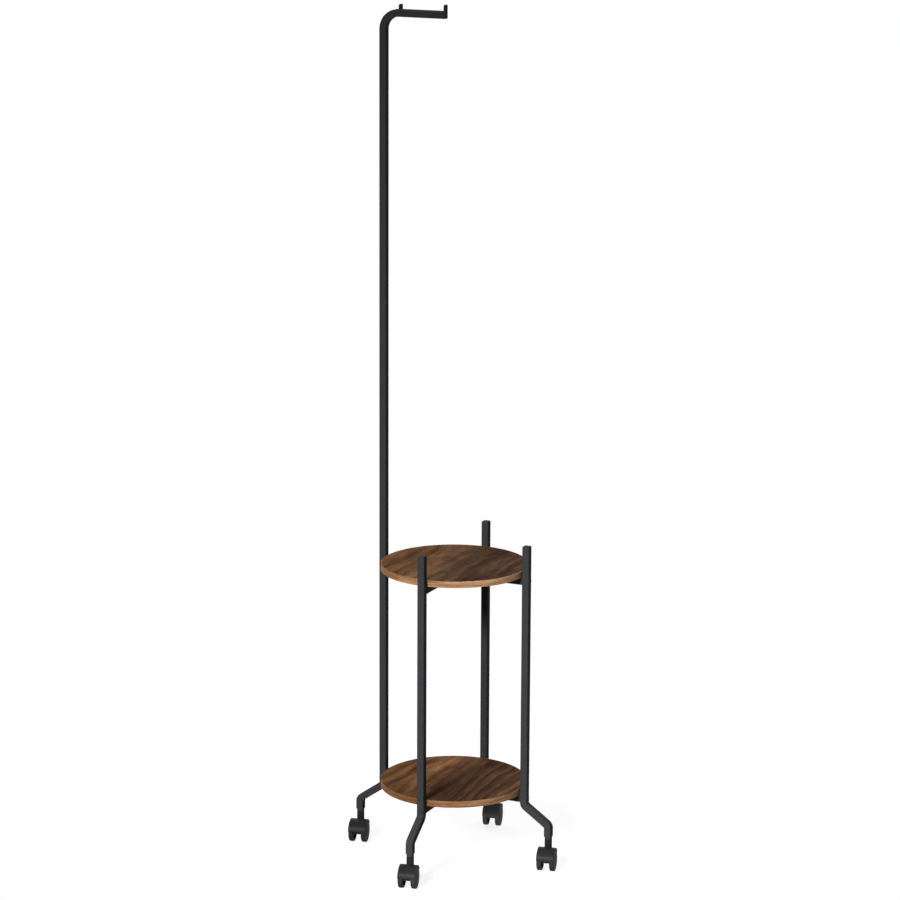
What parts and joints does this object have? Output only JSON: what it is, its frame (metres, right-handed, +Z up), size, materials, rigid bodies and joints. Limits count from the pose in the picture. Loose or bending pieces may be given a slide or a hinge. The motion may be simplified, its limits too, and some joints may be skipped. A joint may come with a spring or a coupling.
{
  "type": "rolling two-tier plant stand",
  "caption": "Two-tier plant stand with round wooden shelves between bent square-tube legs on twin-wheel casters, one leg carrying a tall pole with a hanging arm.",
  "frame": {"origin": "on the floor, under the common centre of both round shelves", "axes": "+Z up; +X from the pole leg to the leg opposite it; +Y from the front leg to the back leg"},
  "size_m": [0.3974, 0.4048, 1.4783],
  "materials": {
    "black_powder_coat": "satin powder coat",
    "wood_top": "dark rustic streaked laminate on board",
    "edge_band": "tan grained edge band",
    "zinc_plated_steel": "bright zinc plate",
    "black_screw_steel": "black oxide",
    "black_plastic": "fine matte",
    "caster_nylon": "moulded satin",
    "wheel_nylon": "moulded satin"
  },
  "bodies": {
    "stand": {"upper_shelf_board": "wood_top", "upper_shelf_edge_band": "edge_band", "lower_shelf_board": "wood_top", "lower_shelf_edge_band": "edge_band", "upper_long_bar": "black_powder_coat", "upper_front_bar": "black_powder_coat", "upper_back_bar": "black_powder_coat", "lower_long_bar": "black_powder_coat", "lower_front_bar": "black_powder_coat", "lower_back_bar": "black_powder_coat", "bar_end_plugs": "zinc_plated_steel", "leg_screws": "black_screw_steel", "access_hole_plugs": "black_plastic", "shelf_screws": "black_screw_steel", "front_leg": "black_powder_coat", "right_leg": "black_powder_coat", "back_leg": "black_powder_coat", "pole_leg": "black_powder_coat", "front_leg_cap": "black_plastic", "right_leg_cap": "black_plastic", "back_leg_cap": "black_plastic", "lower_joint_sleeve": "zinc_plated_steel", "upper_joint_sleeve": "zinc_plated_steel", "joint_screws": "black_screw_steel", "pole_lower_tube": "black_powder_coat", "pole_upper_tube": "black_powder_coat", "arm_inner_stop": "black_powder_coat", "arm_end_plate": "black_powder_coat", "front_foot_insert": "black_plastic", "right_foot_insert": "black_plastic", "back_foot_insert": "black_plastic", "pole_foot_insert": "black_plastic", "front_caster_stem": "black_screw_steel", "front_caster_retaining_ring": "zinc_plated_steel", "right_caster_stem": "black_screw_steel", "right_caster_retaining_ring": "zinc_plated_steel", "back_caster_stem": "black_screw_steel", "back_caster_retaining_ring": "zinc_plated_steel", "pole_caster_stem": "black_screw_steel", "pole_caster_retaining_ring": "zinc_plated_steel"},
    "front_caster": {"front_caster_housing": "caster_nylon", "front_caster_axle": "zinc_plated_steel"},
    "front_left_wheel": {"front_caster_left_wheel": "wheel_nylon"},
    "front_right_wheel": {"front_caster_right_wheel": "wheel_nylon"},
    "right_caster": {"right_caster_housing": "caster_nylon", "right_caster_axle": "zinc_plated_steel"},
    "right_left_wheel": {"right_caster_left_wheel": "wheel_nylon"},
    "right_right_wheel": {"right_caster_right_wheel": "wheel_nylon"},
    "back_caster": {"back_caster_housing": "caster_nylon", "back_caster_axle": "zinc_plated_steel"},
    "back_left_wheel": {"back_caster_left_wheel": "wheel_nylon"},
    "back_right_wheel": {"back_caster_right_wheel": "wheel_nylon"},
    "pole_caster": {"pole_caster_housing": "caster_nylon", "pole_caster_axle": "zinc_plated_steel"},
    "pole_left_wheel": {"pole_caster_left_wheel": "wheel_nylon"},
    "pole_right_wheel": {"pole_caster_right_wheel": "wheel_nylon"}
  },
  "joints": [
    {"name": "front_swivel", "type": "hinge", "parent": "stand", "child": "front_caster", "pos_m": [0, -0.17965, 0.043], "axis": [0, 0, 1], "continuous": true},
    {"name": "front_left_roll", "type": "hinge", "parent": "front_caster", "child": "front_left_wheel", "pos_m": [0.0027, -0.19237, 0.019], "axis": [0.9781, 0.2079, 0], "continuous": true},
    {"name": "front_right_roll", "type": "hinge", "parent": "front_caster", "child": "front_right_wheel", "pos_m": [0.0027, -0.19237, 0.019], "axis": [0.9781, 0.2079, 0], "continuous": true},
    {"name": "right_swivel", "type": "hinge", "parent": "stand", "child": "right_caster", "pos_m": [0.17965, 0, 0.043], "axis": [0, 0, 1], "continuous": true},
    {"name": "right_left_roll", "type": "hinge", "parent": "right_caster", "child": "right_left_wheel", "pos_m": [0.18235, -0.01272, 0.019], "axis": [0.9781, 0.2079, 0], "continuous": true},
    {"name": "right_right_roll", "type": "hinge", "parent": "right_caster", "child": "right_right_wheel", "pos_m": [0.18235, -0.01272, 0.019], "axis": [0.9781, 0.2079, 0], "continuous": true},
    {"name": "back_swivel", "type": "hinge", "parent": "stand", "child": "back_caster", "pos_m": [0, 0.17965, 0.043], "axis": [0, 0, 1], "continuous": true},
    {"name": "back_left_roll", "type": "hinge", "parent": "back_caster", "child": "back_left_wheel", "pos_m": [0.0027, 0.16693, 0.019], "axis": [0.9781, 0.2079, 0], "continuous": true},
    {"name": "back_right_roll", "type": "hinge", "parent": "back_caster", "child": "back_right_wheel", "pos_m": [0.0027, 0.16693, 0.019], "axis": [0.9781, 0.2079, 0], "continuous": true},
    {"name": "pole_swivel", "type": "hinge", "parent": "stand", "child": "pole_caster", "pos_m": [-0.17965, 0, 0.043], "axis": [0, 0, 1], "continuous": true},
    {"name": "pole_left_roll", "type": "hinge", "parent": "pole_caster", "child": "pole_left_wheel", "pos_m": [-0.17695, -0.01272, 0.019], "axis": [0.9781, 0.2079, 0], "continuous": true},
    {"name": "pole_right_roll", "type": "hinge", "parent": "pole_caster", "child": "pole_right_wheel", "pos_m": [-0.17695, -0.01272, 0.019], "axis": [0.9781, 0.2079, 0], "continuous": true}
  ]
}
